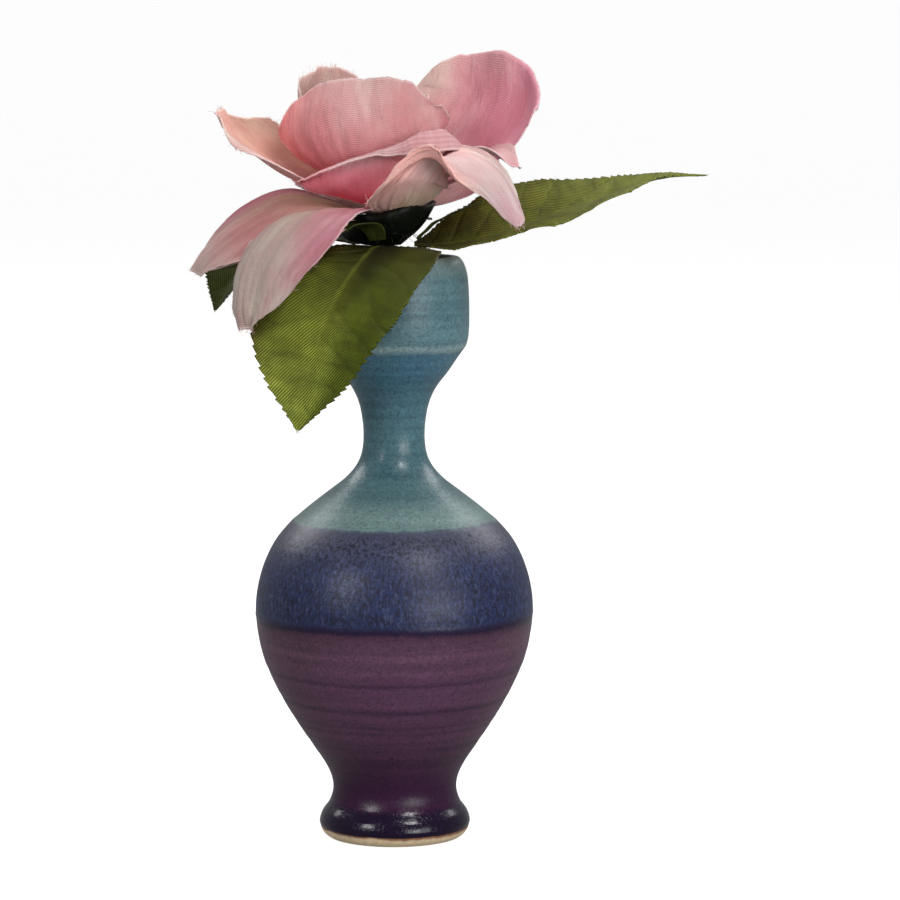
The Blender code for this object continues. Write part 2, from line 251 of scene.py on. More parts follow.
def thicken(item, thickness):
    """Give a sheet its thickness in millimetres, half to each side."""
    solid = item.modifiers.new("thickness", "SOLIDIFY")
    solid.thickness = thickness * MM
    solid.offset = 0


def grid_faces(rows, columns, wrap=False):
    faces = []
    for row in range(rows - 1):
        for column in range(columns if wrap else columns - 1):
            after = (column + 1) % columns
            faces.append((row * columns + column, row * columns + after,
                          (row + 1) * columns + after, (row + 1) * columns + column))
    return faces


def smooth_curve(knots, per_span):
    """Catmull-Rom points through rows of numbers, with chord lengths as the parameter."""
    knots = np.array(knots, float)
    gaps = np.maximum(np.linalg.norm(np.diff(knots[:, :2], axis=0), axis=1), 1e-6) ** 0.5
    times = np.concatenate(([0.0], np.cumsum(gaps)))
    slopes = np.gradient(knots, times, axis=0)
    result = []
    for index in range(len(knots) - 1):
        span = times[index + 1] - times[index]
        for u in np.linspace(0, 1, per_span, endpoint=False):
            a, b = knots[index], knots[index + 1]
            m, n = slopes[index] * span, slopes[index + 1] * span
            result.append(a * (1 + 2 * u) * (1 - u) ** 2 + m * u * (1 - u) ** 2
                          + b * u * u * (3 - 2 * u) + n * u * u * (u - 1))
    result.append(knots[-1])
    return np.array(result)


def turned(name, profile, sides, look, body, nodes, centre=0.0, shape=None):
    """A turned solid whose profile of (radius, height) starts and ends on the axis, or is closed."""
    profile = np.asarray(profile, float)
    closed = profile[0][0] > 0.01
    inner = profile if closed else profile[1:-1]
    angles = np.arange(sides) * TAU / sides
    radius = np.repeat(inner[:, :1], sides, axis=1)
    height = np.repeat(inner[:, 1:2], sides, axis=1)
    if shape:
        radius, height = shape(radius, height, angles[None, :])
    points = np.stack((centre + radius * np.cos(angles), radius * np.sin(angles), height), axis=-1)
    points = points.reshape(-1, 3)
    rows = len(inner)
    faces = grid_faces(rows, sides, wrap=True)
    if closed:
        last = (rows - 1) * sides
        faces += [(last + k, last + (k + 1) % sides, (k + 1) % sides, k) for k in range(sides)]
    else:
        first, last = len(points), len(points) + 1
        points = np.vstack((points, (centre, 0, profile[0][1]), (centre, 0, profile[-1][1])))
        low = (rows - 1) * sides
        for k in range(sides):
            after = (k + 1) % sides
            faces.append((first, after, k))
            faces.append((last, low + k, low + after))
    return add_mesh(name, points, faces, look, body, nodes)


def tube(route, radii, sides=10):
    """Points and faces of a closed round tube along a route of 3-D points."""
    route = np.asarray(route, float)
    radii = np.broadcast_to(radii, len(route))
    ahead = np.gradient(route, axis=0)
    ahead /= np.linalg.norm(ahead, axis=1)[:, None]
    reference = np.array((0.0, 0.0, 1.0)) if abs(ahead[0][2]) < 0.8 else np.array((1.0, 0.0, 0.0))
    points = []
    for place, forward, radius in zip(route, ahead, radii):
        side = np.cross(forward, reference)
        side /= np.linalg.norm(side)
        reference = np.cross(side, forward)
        for k in range(sides):
            angle = TAU * k / sides
            points.append(place + radius * (math.cos(angle) * side + math.sin(angle) * reference))
    faces = grid_faces(len(route), sides, wrap=True)
    faces.append(tuple(range(sides))[::-1])
    faces.append(tuple(range((len(route) - 1) * sides, len(route) * sides)))
    return points, faces


# ---------------------------------------------------------------- the vase

OUTSIDE = (
    (15.0, 149.7), (16.4, 149.6), (17.6, 148.3), (18.6, 145.5), (19.0, 142.0), (19.2, 136.0),
    (19.15, 131.5), (18.85, 128.6), (18.2, 126.8), (16.2, 123.8), (13.6, 120.0), (11.0, 116.6),
    (9.2, 113.0), (8.2, 108.8), (7.8, 103.6), (8.4, 99.0), (9.8, 96.0), (12.4, 93.0),
    (16.2, 90.0), (20.1, 87.0), (23.8, 84.0), (27.1, 81.0), (30.4, 77.0), (33.0, 72.0),
    (34.8, 66.3), (35.6, 60.3), (35.2, 54.0), (33.8, 47.4), (31.7, 42.0), (28.7, 36.0),
    (25.1, 30.0), (21.1, 24.0), (17.6, 18.6), (16.2, 15.2), (15.9, 12.2), (16.8, 9.0),
    (18.6, 6.2), (19.3, 3.4), (18.5, 1.2), (17.2, 0.15),
)
HOLLOW = (
    (0.0, 5.5), (5.0, 5.5), (9.0, 5.7), (12.0, 8.4), (13.4, 16.0), (19.6, 27.0), (26.8, 39.0),
    (31.2, 50.0), (32.3, 60.0), (30.4, 70.0), (25.9, 78.0), (17.4, 86.0), (9.8, 92.0),
    (6.0, 97.0), (5.0, 104.0), (6.1, 112.5), (9.8, 120.0), (14.8, 127.2), (15.7, 132.0),
    (15.5, 143.0), (14.6, 147.6),
)
# Grooves left by the thrower's fingers: height, depth in millimetres and breadth
GROOVES = ((44.1, 0.13, 0.75), (36.7, 0.14, 0.8), (32.3, 0.10, 0.6), (30.5, 0.13, 0.6),
           (25.7, 0.15, 0.8), (21.5, 0.07, 0.7), (52.6, 0.06, 0.8), (48.6, 0.05, 0.7),
           (102.6, 0.05, 0.5), (106.8, 0.04, 0.5), (110.9, 0.05, 0.6), (116.0, 0.05, 0.6),
           (134.4, 0.04, 0.7), (140.2, 0.04, 0.8))


def thrown(radius, height, angle):
    """Grooves, the ridge under the cup and the slight wander of a hand-thrown wall."""
    change = np.zeros_like(radius)
    for level, depth, breadth in GROOVES:
        lean = level + 0.35 * np.sin(angle + level) + 0.12 * np.sin(3 * angle + 2 * level)
        strength = depth * (0.42 + 0.2 * np.sin(angle + level * 1.7))
        change -= strength * np.exp(-((height - lean) / breadth) ** 2)
        change += 0.5 * strength * np.exp(-((height - lean - 1.7 * breadth) / breadth) ** 2)
    change += 0.10 * np.exp(-((height - 127.0) / 0.7) ** 2)
    change += 0.05 * np.sin(2 * angle + 0.02 * height) + 0.03 * np.sin(5 * angle + 0.1 * height)
    change += 0.10 * np.exp(-((height - 82.0 - 0.3 * np.sin(2 * angle)) / 0.5) ** 2)
    change += 0.12 * np.exp(-((height - 58.2 - 0.25 * np.sin(3 * angle + 1)) / 0.5) ** 2)
    thick = np.clip((height - 3.0) / 0.8, 0, 1) * np.exp(-np.clip(height - 6, 0, None) / 2.5)
    change += 0.16 * thick
    outer = radius > np.interp(height, [row[1] for row in OUTSIDE][::-1],
                               [row[0] for row in OUTSIDE][::-1]) - 1.0
    return radius + np.where(outer & (height > 1.0), change, 0.0), height


def glaze_look():
    """Four glazes in bands from lip to foot, with bare clay under the last."""
    look = Look("glazed_stoneware", Specular_IOR_Level=0.30)
    place = look.place()
    height = look.times(look.parts(place)[2], 1 / MM)
    slow = look.math("SUBTRACT", look.noise(place, 45, 2), 0.5)
    quick = look.math("SUBTRACT", look.noise(place, 420, 2), 0.5)
    wavy = look.math("MULTIPLY_ADD", slow, 2.2, look.math("MULTIPLY_ADD", quick, 0.9, height))
    band = look.math("DIVIDE", wavy, VASE_HEIGHT)
    even = look.math("DIVIDE", look.math("MULTIPLY_ADD", quick, 0.5, height), VASE_HEIGHT)

    def levels(stops):
        return [(height_mm / VASE_HEIGHT, value) for height_mm, value in stops]

    base = look.ramp(band, levels((
        (2, (0.006, 0.001, 0.014)), (8.2, (0.007, 0.001, 0.015)),
        (9.6, (0.027, 0.003, 0.025)), (14, (0.025, 0.003, 0.025)),
        (22, (0.052, 0.016, 0.044)), (30, (0.086, 0.032, 0.070)),
        (44, (0.096, 0.040, 0.080)), (53, (0.102, 0.047, 0.080)),
        (56.2, (0.070, 0.030, 0.056)), (57.3, (0.012, 0.006, 0.026)),
        (58.3, (0.014, 0.010, 0.036)), (59.3, (0.015, 0.024, 0.074)),
        (68, (0.016, 0.025, 0.076)), (74, (0.021, 0.030, 0.080)),
        (77, (0.040, 0.046, 0.088)), (80, (0.046, 0.050, 0.080)),
        (81.9, (0.042, 0.046, 0.080)), (82.6, (0.130, 0.205, 0.198)),
        (86.5, (0.108, 0.175, 0.172)), (89, (0.070, 0.134, 0.142)),
        (95, (0.050, 0.112, 0.130)), (106, (0.070, 0.156, 0.186)),
        (116, (0.066, 0.156, 0.200)), (121, (0.070, 0.178, 0.250)),
        (125.6, (0.074, 0.184, 0.252)), (127, (0.290, 0.420, 0.420)),
        (128.5, (0.104, 0.200, 0.224)), (136, (0.084, 0.174, 0.196)),
        (144, (0.090, 0.178, 0.198)), (148.4, (0.150, 0.215, 0.200)),
        (150, (0.200, 0.220, 0.175)))))

    # Dark grooves where the plum glaze lies thick, stronger on some sides than on others
    marks = [(0.0, 0.0)]
    for centre, depth, breadth in sorted(GROOVES):
        if centre < 60:
            marks += [(centre - breadth * 1.3, 0.0), (centre - 0.1, depth * 5.5),
                      (centre + breadth * 1.2, 0.0)]
    leaning = look.math("MULTIPLY_ADD", slow, 1.1, height)
    grooves = look.ramp(look.math("DIVIDE", leaning, VASE_HEIGHT), levels(marks))
    side_change = look.steps(look.noise(look.scaled(place, (1, 1, 2.5)), 38, 1), 0.35, 0.62, 0.35, 1.0)
    base = look.blend(look.times(grooves, side_change), base, (0.020, 0.006, 0.026))

    # Fine level streaks from the wheel
    streak = look.noise(look.scaled(place, (14, 14, 620)), 1.0, 3, 0.6)
    base = look.toned(base, look.steps(streak, 0.42, 0.72, 0.0, 0.24), (1.55, 1.45, 1.4))
    base = look.toned(base, look.steps(streak, 0.55, 0.30, 0.0, 0.32), (0.55, 0.55, 0.62))

    # The blue glaze has run: short upright dark flecks close together, and pale ones between
    in_blue = look.times(look.steps(wavy, 58.4, 60.0), look.steps(wavy, 82.0, 79.5))
    tall = look.scaled(place, (1.0, 1.0, 0.42))
    flecks = look.steps(look.noise(tall, 1350, 2, 0.65), 0.50, 0.58)
    pale = look.steps(look.noise(tall, 1200, 2, 0.6), 0.50, 0.64)
    base = look.blend(look.times(look.times(pale, in_blue), 0.5), base,
                      (0.060, 0.076, 0.146))
    base = look.blend(look.times(look.times(flecks, in_blue), 0.82), base,
                      (0.010, 0.009, 0.026))

    # The plum and green glazes only have a fine speckle
    speckle = look.noise(place, 1500, 2, 0.6)
    base = look.toned(base, look.steps(speckle, 0.50, 0.64, 0.0, 0.55), (0.45, 0.42, 0.5))
    pale_speckle = look.noise(place, 900, 3, 0.6)
    base = look.toned(base, look.steps(pale_speckle, 0.5, 0.62, 0.0, 0.42), (1.5, 1.45, 1.5))
    cloud = look.noise(look.scaled(place, (1, 1, 1.6)), 60, 3, 0.5)
    base = look.toned(base, look.steps(cloud, 0.4, 0.65, 0.0, 0.28), (0.72, 0.70, 0.76))

    # Sparse pinholes: one cell in eight holds a dot
    cell = look.cells(place, 150)
    chosen = look.math("GREATER_THAN", look.parts(cell["Color"])[0], 0.86)
    dot = look.steps(cell["Distance"], 0.075, 0.045)
    pinholes = look.times(look.times(dot, chosen), look.steps(height, 4.0, 10.0))
    base = look.blend(look.times(pinholes, 0.9), base, (0.006, 0.004, 0.010))

    # Bare clay: the foot ring and the underside, browned where the glaze ends
    clay = look.ramp(look.noise(place, 900, 4, 0.65),
                     ((0.3, (0.56, 0.42, 0.26)), (0.7, (0.76, 0.60, 0.40))))
    clay = look.blend(look.steps(wavy, 1.9, 2.7), clay, (0.22, 0.10, 0.05))
    glaze_end = look.math("MULTIPLY_ADD", slow, 0.7, look.math("MULTIPLY_ADD", quick, 0.35, height))
    bare = look.steps(glaze_end, 2.95, 2.6)
    look.colour(look.blend(bare, base, clay))

    sheen = look.ramp(even, levels((
        (2.5, 0.13), (8.5, 0.15), (11, 0.36), (50, 0.40), (57.6, 0.24), (60, 0.38),
        (80, 0.40), (83, 0.36), (90, 0.27), (112, 0.27), (122, 0.33), (150, 0.36))))
    gloss = look.math("ADD", sheen, look.times(look.math("SUBTRACT", cloud, 0.5), 0.12))
    gloss = look.math("ADD", gloss, look.times(look.math("SUBTRACT", speckle, 0.5), 0.10))
    look.roughness(look.math("MULTIPLY_ADD", bare, 0.5, gloss, clamp=True))

    look.bump(look.noise(place, 260, 2), 0.00012, 0.35)
    look.bump(look.math("ADD", look.noise(place, 1300, 2), look.times(flecks, -0.5)), 0.00006, 0.5)
    look.bump(streak, 0.00010, 0.5)
    look.bump(look.times(pinholes, -1.0), 0.0002, 0.8)
    return look


def make_vase():
    outside = smooth_curve(OUTSIDE, 8)
    hollow = smooth_curve(HOLLOW, 5)
    # The lip is a half round from the hollow's last point over to the outside's first
    start, end = hollow[-1], outside[0]
    lip = [(start[0] + (end[0] - start[0]) * share,
            start[1] + (end[1] - start[1]) * math.sin(share * math.pi / 2)) for share in (0.2, 0.45, 0.75)]
    foot = [(15.8, 0.0), (12.0, 0.0), (6.0, 0.0), (0.0, 0.0)]
    profile = np.vstack((hollow, lip, outside, foot))
    return turned("vase", profile, 208, glaze_look(), "vase", ["vase_body"], shape=thrown)


make_vase()

# ---------------------------------------------------------------- petals and leaves

# Azimuth, fall of the rim and stations, in millimetres and degrees: a station is (out from the stem, height,
# sideways, half the width, cup, roll). They are the CAD's, but for middle_petal_1, outer_petal_1 and
# leaf_front, which follow the real outlines more closely.
BUD_PETAL = ((3.4, 169, 0, 2.5, 40, 0), (5.6, 174, 0, 6, 62, 8), (6.2, 181, 0, 7, 60, 10))
PETALS = {
    "bud_petal_1": (20, (0.2, 0.2, 2.5), (*BUD_PETAL, (4.6, 187, 0, 5, 50, 10))),
    "bud_petal_2": (140, (0.2, 0.2, 2.5), (*BUD_PETAL, (4.6, 188, 0, 5, 50, 10))),
    "bud_petal_3": (260, (0.2, 0.2, 2.5), (*BUD_PETAL, (4.6, 186, 0, 5, 50, 10))),
    "inner_petal_1": (265, (0.46, 0.56, 3), (
        (5, 165, 0, 2.3, 20, 0), (11.5, 171, -2, 16, 48, 0), (14.5, 179, -3.5, 24.5, 52, 0),
        (14.5, 188, -4, 26.5, 52, 0), (12.5, 195.8, -3, 24, 50, 0))),
    "inner_petal_2": (140, (0.2, 0.3, 2.5), (
        (5, 165, 0, 2.3, 20, 0), (12, 170, 0, 8, 30, 0), (17, 180, 1, 14, 30, 0),
        (18, 190, 2, 16, 30, 0), (17, 198, 2, 14, 25, 0))),
    "inner_petal_3": (15, (0.28, 0.28, 2.5), (
        (5, 165.2, 0, 2, 20, 0), (9.5, 171, 0, 8, 45, 10), (11.5, 180, 0, 11, 50, 16),
        (10, 191, 0, 9, 45, 16))),
    "inner_petal_4": (84, (0.28, 0.28, 2.5), (
        (5, 165.5, 0, 2, 20, 0), (9.5, 171, 0, 8, 45, 10), (12.5, 180, 0, 12, 50, 16),
        (11, 192, 0, 10, 45, 16))),
    "middle_petal_1": (262, (0.64, 0.15, 1.1), (
        (6, 162.6, 0, 3, 10, 0), (12, 166.5, 0, 16, 25, 0), (17, 172.5, 0, 23.5, 40, 0),
        (19.5, 178.5, 0.5, 23.5, 42, 0), (21, 184.5, 1, 23, 42, 0))),
    "middle_petal_2": (346, (0.28, 0.28, 2.5), (
        (6, 163.4, 0, 2.6, 10, 0), (14, 168.2, 0.6, 5, 15, 0), (22, 173.7, 1.5, 6, 15, 0),
        (30, 176.5, -3, 8, 15, 0), (37, 173, -6, 5, 10, 0))),
    "middle_petal_3": (60, (0.26, 0.3, 3), (
        (6, 163.8, 0, 2.8, 10, 0), (13.5, 169, -3, 12, 20, 0), (22, 178, -8, 22, 28, 0),
        (29, 190, -12, 24, 32, 0), (32, 201, -11.5, 23, 28, 0))),
    "middle_petal_4": (180, (0.3, 0.3, 2.5), (
        (6, 163.4, 0, 2.8, 10, -10), (14, 165.8, 0, 7, 40, -25), (25, 170, 0, 13, 52, -28),
        (33, 175, 0, 13.5, 52, -28), (38.5, 180.5, 0, 11, 45, -28), (41, 186, 0, 6, 35, -25))),
    "middle_petal_5": (122, (0.28, 0.28, 2.5), (
        (6, 162.8, 0, 2.8, 10, 0), (14, 165.4, 0, 10, 20, 0), (24, 168.5, 0, 16, 30, 0),
        (33, 174, 0, 15, 30, 0), (38, 181, 0, 9, 25, 0))),
    "outer_petal_1": (300, (0.28, 0.28, 2.5), (
        (6.5, 160.8, 0, 3, 5, 0), (15.5, 163.8, -3, 10, 15, 0), (24.2, 169.5, -4.2, 11.8, 20, 0),
        (28, 175.5, 1.5, 8.5, 10, 0), (34, 171, 11, 7, -15, 0), (39.5, 158, 17.5, 5, -15, 0))),
    "outer_petal_2": (178, (0.28, 0.28, 2.5), (
        (6.5, 161.2, 0, 2.8, 5, 0), (15, 163.6, 0, 8, 5, 0), (25, 164.4, 0, 12, 0, -8),
        (36, 159.5, 0, 13, -15, -14), (44.5, 152, 0, 11, -20, -14), (48.5, 145.5, 0, 5, -20, -14))),
    "outer_petal_3": (222, (0.28, 0.28, 2.5), (
        (6.5, 160.8, 0, 2.8, 5, 4), (18, 161.6, -1, 12, -5, 10), (30, 160, -2, 17, -20, 12),
        (41, 150, -1, 16.5, -30, 8), (47.5, 138, 2, 10, -30, 0), (48.5, 132, 3, 4, -30, 0))),
    "outer_petal_4": (105, (0.28, 0.28, 2.5), (
        (6.5, 160.8, 0, 2.8, 5, 0), (16, 162, 0, 10, 10, 6), (28, 164, 0, 17, 15, 6),
        (38, 171, 0, 17, 20, 0), (42, 181, 0, 10, 15, 0))),
    "outer_petal_5": (54, (0.28, 0.28, 2.5), (
        (6.5, 160.8, 0, 2.8, 5, 0), (16, 163.2, 0, 9, 10, 8), (26, 166.5, 0, 14, 15, 6),
        (34, 171.5, 0, 13, 10, 0), (39, 178, 0, 8, 0, 0))),
}
LEAVES = {
    "leaf_front": (250, None, (
        (8, 152.4, 2, 3, 4, 0), (15, 152.6, 4, 13, 0, 0), (22, 152.1, 5, 19, -1, 0),
        (30.4, 146.5, 3.2, 21, 8, 0), (36, 136.5, -1.0, 20.4, 14, 0), (40.5, 122, -4.2, 13.2, 14, 0),
        (42.5, 109, -6.2, 0.6, 10, 0))),
    "leaf_right": (0, None, (
        (8, 152.4, 0, 3, 10, 8), (15, 152.4, 0, 11, 16, 18), (24, 153.8, 0, 15.5, 18, 20),
        (35, 157.2, 0, 16.5, 19, 22), (46, 161.2, 0, 15, 12, 20), (60.8, 166.2, 0, 11, 10, 10),
        (71, 169.4, 0, 5.5, 12, 4), (82.2, 170.2, 0, 0.6, 8, 0))),
    "leaf_left": (148, None, (
        (8, 152.4, 0, 3, 10, 0), (22, 154, 0, 14, 12, 0), (35, 151, 0, 17.5, 14, 0),
        (45.5, 144, 0, 12, 14, 0), (52.5, 134, 0, 0.6, 10, 0))),
}
LEVEL_SEPAL = (
    (9.2, 154.2, 0, 2.2, 5, 0), (13.2, 157.6, 0, 2.8, 5, 0), (19, 158.8, 0, 2.2, 5, 0),
    (26, 158, 0, 0.8, 0, 0))
SEPALS = {
    "sepal_1": (350, (0.1, 0.1, 2), (
        (9.2, 154.2, 0, 2.2, 5, 0), (13.2, 158, 0, 2.8, 5, 0), (19, 161, 0, 2.2, 5, 0),
        (26, 163.8, 0, 1.2, 0, 0))),
    "sepal_2": (62, (0.1, 0.1, 2), LEVEL_SEPAL),
    "sepal_3": (128, (0.1, 0.1, 2), LEVEL_SEPAL),
    "sepal_4": (192, (0.1, 0.1, 2), (
        (9.2, 154.2, 0, 2.2, 5, 0), (13.2, 157.2, 0, 2.8, 5, 0), (17, 157.6, 0, 2.2, 5, 0),
        (21.5, 156, 0, 0.8, 0, 0))),
    "sepal_5": (262, (0.1, 0.1, 2), (
        (9.2, 154.2, 0, 2.2, 5, 0), (13.2, 157.6, -1, 3, 5, 0), (17.5, 158.5, -6, 2.6, 0, 0),
        (20, 156, -12, 1, 0, 0))),
}

PETAL_THICKNESS, LEAF_THICKNESS, BUD_THICKNESS, SEPAL_THICKNESS = 0.28, 0.34, 0.3, 0.4
# Distance from one thread to the next: two ways in the petals, then the leaves' ribs and ties
WARP_PITCH, WEFT_PITCH, RIB_PITCH, TIE_PITCH = 0.60, 0.54, 0.62, 0.46

# How far along its stations a petal's rim lies, at nine places over the width
RIMS = {
    "middle_petal_1": (0.34, 0.40, 0.49, 0.565, 0.635, 0.74, 0.87, 0.88, 0.62),
    "inner_petal_1": (0.60, 0.79, 0.91, 0.95, 0.96, 0.98, 0.95, 0.79, 0.48),
    "outer_petal_1": (0.60, 0.80, 0.93, 0.99, 1.0, 1.0, 0.97, 0.90, 0.76),
}
# How the cloth leaves its stations: (across, along, spread, (x, y, z) shift in millimetres)
PULLS = {
    "inner_petal_1": ((-0.5, 1.0, 0.35, (0, 0, -1.5)), (0.6, 1.0, 0.35, (0, 0, 1.8))),
    "middle_petal_1": ((-1.0, 0.9, 0.6, (-1.6, -5.0, -3.2)),),
    "middle_petal_2": ((0, 0.9, 0.7, (0, 0, -0.8)),),
    "middle_petal_3": ((-0.75, 1.0, 0.35, (-2.2, 0, -4.0)), (-1, 0.8, 0.4, (1.0, 0, 0)),
                       (1.0, 1.0, 0.3, (-1, 0, -5))),
    "middle_petal_4": ((1.0, 0.6, 0.5, (0, 0, 1.5)), (0.5, 0.6, 0.6, (1, 0, 2.5))),
    "outer_petal_1": ((-0.9, 0.7, 0.5, (1.0, 0, -4.5)),),
    "outer_petal_2": ((1.0, 0.62, 0.6, (0, -1, -9)),),
    "outer_petal_3": ((1.0, 0.42, 0.5, (5, 0, -1)), (1.0, 0.75, 0.4, (2, 0, 0)),
                      (0, 1.05, 0.5, (1.5, 0, 1.5)), (-1, 0.95, 0.35, (2.5, 0, 0))),
}
# Ruffles of the rim: waves over the width, height of the waves, phase
RUFFLES = {
    "inner_petal_1": (3.0, 0.5, 0.6), "inner_petal_2": (4.0, 1.0, 1.0), "inner_petal_3": (3.0, 0.6, 0.0),
    "inner_petal_4": (3.0, 0.6, 2.0), "middle_petal_1": (2.0, 0.5, 0.3), "middle_petal_2": (2.0, 0.5, 0.0),
    "middle_petal_3": (2.6, 1.1, 2.2), "middle_petal_4": (2.5, 0.8, 0.5), "middle_petal_5": (3.0, 1.1, 1.0),
    "outer_petal_1": (2.0, 0.4, 0.0), "outer_petal_2": (2.2, 0.9, 0.7), "outer_petal_3": (2.3, 0.9, 2.0),
    "outer_petal_4": (3.0, 1.2, 0.4), "outer_petal_5": (2.7, 1.0, 1.9),
}
# Rims rolled to the outer face: roll in degrees, and the rolled strip's width at nine places over the width
LIPS = {
    "middle_petal_1": (148, (1.6, 1.8, 2.0, 2.4, 3.2, 4.8, 7.5, 8.0, 3.5)),
    "middle_petal_3": (70, (1.4, 1.8, 2.0, 1.8, 1.5, 1.2, 1.0, 0.9, 0.8)),
    "inner_petal_1": (40, (0.8, 0.7, 0.6, 0.5, 0.5, 0.5, 0.6, 0.8, 0.9)),
    "middle_petal_5": (60, (1.0, 1.4, 1.6, 1.8, 1.8, 1.8, 1.6, 1.4, 1.0)),
    "outer_petal_4": (70, (1.0, 1.4, 1.8, 2.0, 2.2, 2.0, 1.8, 1.4, 1.0)),
    "outer_petal_5": (60, (1.0, 1.4, 1.8, 2.0, 2.2, 2.0, 1.8, 1.4, 1.0)),
    "middle_petal_4": (40, (0.8, 0.9, 1.0, 1.0, 1.0, 1.0, 1.0, 0.9, 0.8)),
}
# How much stronger than usual a petal is creased
CREASES = {"outer_petal_2": 2.6, "outer_petal_3": 3.0, "middle_petal_3": 1.7, "inner_petal_1": 1.7,
           "middle_petal_4": 1.5, "outer_petal_1": 1.5, "inner_petal_2": 2.0}
LIP_ROWS = 12
LIP_RADIUS = 1.3

# Dye over a petal: (across, along, reach, colour)
PINK, CREAM, BLUSH = (0.62, 0.22, 0.26), (0.70, 0.46, 0.40), (0.68, 0.36, 0.37)
PLAIN_DYE = ((0, 0, 0.35, (0.52, 0.40, 0.22)), (0, 0.45, 0.4, BLUSH), (-0.9, 0.8, 0.4, PINK),
             (0.9, 0.8, 0.4, PINK), (0, 1.0, 0.4, CREAM))
DYES = {
    "inner_petal_1": ((-1.0, 0.85, 0.28, (0.74, 0.20, 0.21)), (-0.6, 0.6, 0.24, (0.66, 0.19, 0.20)),
                      (-0.15, 0.8, 0.32, (0.60, 0.32, 0.32)), (0.2, 0.5, 0.28, (0.55, 0.24, 0.25)),
                      (0.6, 0.75, 0.35, (0.55, 0.27, 0.27)), (0.1, 1.05, 0.25, (0.52, 0.33, 0.31)),
                      (-0.6, 0.3, 0.3, (0.56, 0.10, 0.12)), (0.1, 0.3, 0.35, (0.55, 0.15, 0.18)),
                      (0.95, 0.8, 0.25, (0.52, 0.17, 0.20))),
    "inner_petal_2": ((0, 0.9, 0.5, (0.56, 0.37, 0.33)), (0, 0.4, 0.4, (0.54, 0.26, 0.24))),
    "middle_petal_1": ((-0.6, 0.35, 0.35, (0.96, 0.090, 0.175)), (0.0, 0.55, 0.35, (0.95, 0.33, 0.42)),
                       (-0.8, 0.8, 0.3, (0.62, 0.14, 0.18)), (0.1, 1.08, 0.26, (0.52, 0.29, 0.30)),
                       (0.6, 0.65, 0.35, (0.92, 0.36, 0.42)), (0.7, 1.05, 0.3, (0.50, 0.27, 0.28))),
    "middle_petal_2": ((0, 0.75, 0.35, (0.64, 0.39, 0.39)), (0, 1.05, 0.2, (0.52, 0.10, 0.16)),
                       (0, 0.4, 0.4, (0.54, 0.21, 0.23))),
    "middle_petal_3": ((0.75, 0.85, 0.32, (0.60, 0.41, 0.37)), (0.45, 0.6, 0.28, (0.58, 0.33, 0.31)),
                       (0.1, 0.75, 0.28, (0.54, 0.20, 0.25)), (-0.6, 0.7, 0.35, (0.52, 0.155, 0.215)),
                       (0.0, 0.45, 0.35, (0.52, 0.18, 0.22)), (-0.9, 1.0, 0.25, (0.56, 0.21, 0.27)),
                       (-0.2, 1.02, 0.22, (0.56, 0.27, 0.29))),
    "middle_petal_4": ((0, 0.6, 0.4, (0.66, 0.34, 0.27)), (0, 0.3, 0.3, (0.54, 0.18, 0.17)),
                       (-0.6, 0.9, 0.3, (0.62, 0.37, 0.30)), (0.9, 0.5, 0.3, (0.66, 0.34, 0.33)),
                       (0.7, 0.95, 0.3, (0.66, 0.42, 0.38)),
                      (1.05, 0.45, 0.12, (0.78, 0.54, 0.50)), (1.05, 0.75, 0.12, (0.76, 0.54, 0.50))),
    "outer_petal_1": ((0.2, 0.1, 0.25, (0.74, 0.58, 0.34)), (0.1, 0.42, 0.32, (0.92, 0.53, 0.50)),
                      (-0.8, 0.42, 0.3, (0.90, 0.44, 0.40)), (0, 0.62, 0.18, (0.66, 0.38, 0.40)),
                      (0, 0.8, 0.25, (0.56, 0.44, 0.43)), (0, 1.0, 0.2, (0.54, 0.27, 0.31))),
    "outer_petal_2": ((0, 0.25, 0.3, (0.44, 0.25, 0.15)), (0.3, 0.5, 0.3, (0.44, 0.18, 0.18)),
                      (0, 0.95, 0.35, (0.44, 0.30, 0.28)), (-0.8, 0.5, 0.3, (0.44, 0.15, 0.18))),
    "outer_petal_3": ((0, 0.15, 0.3, (0.44, 0.24, 0.18)), (-0.25, 0.65, 0.5, (0.36, 0.27, 0.245)),
                      (0.95, 0.55, 0.24, (0.42, 0.15, 0.19)), (0.8, 0.2, 0.25, (0.46, 0.15, 0.19)),
                      (-0.9, 0.3, 0.3, (0.42, 0.18, 0.19)), (0, 1.05, 0.3, (0.40, 0.28, 0.24))),
}


def stations_at(stations, along):
    """Catmull-Rom through the stations, for an array of places from 0 to 1."""
    table = np.array(stations, float)
    place = np.clip(along, 0, 1) * (len(table) - 1)
    index = np.minimum(place.astype(int), len(table) - 2)
    before, start = table[np.maximum(index - 1, 0)], table[index]
    end, after = table[index + 1], table[np.minimum(index + 2, len(table) - 1)]
    u = (place - index)[..., None]
    bend = (2 * before - 5 * start + 4 * end - after) * u ** 2
    bend += (3 * start - before - 3 * end + after) * u ** 3
    return start + 0.5 * ((end - before) * u + bend)


def middle_line(azimuth, station):
    turn = math.radians(azimuth)
    out, height, sideways = station[..., 0], station[..., 1], station[..., 2]
    return np.stack((STEM_X + out * math.cos(turn) - sideways * math.sin(turn),
                     out * math.sin(turn) + sideways * math.cos(turn), height), axis=-1)


def unit(vectors):
    return vectors / np.maximum(np.linalg.norm(vectors, axis=-1, keepdims=True), 1e-9)


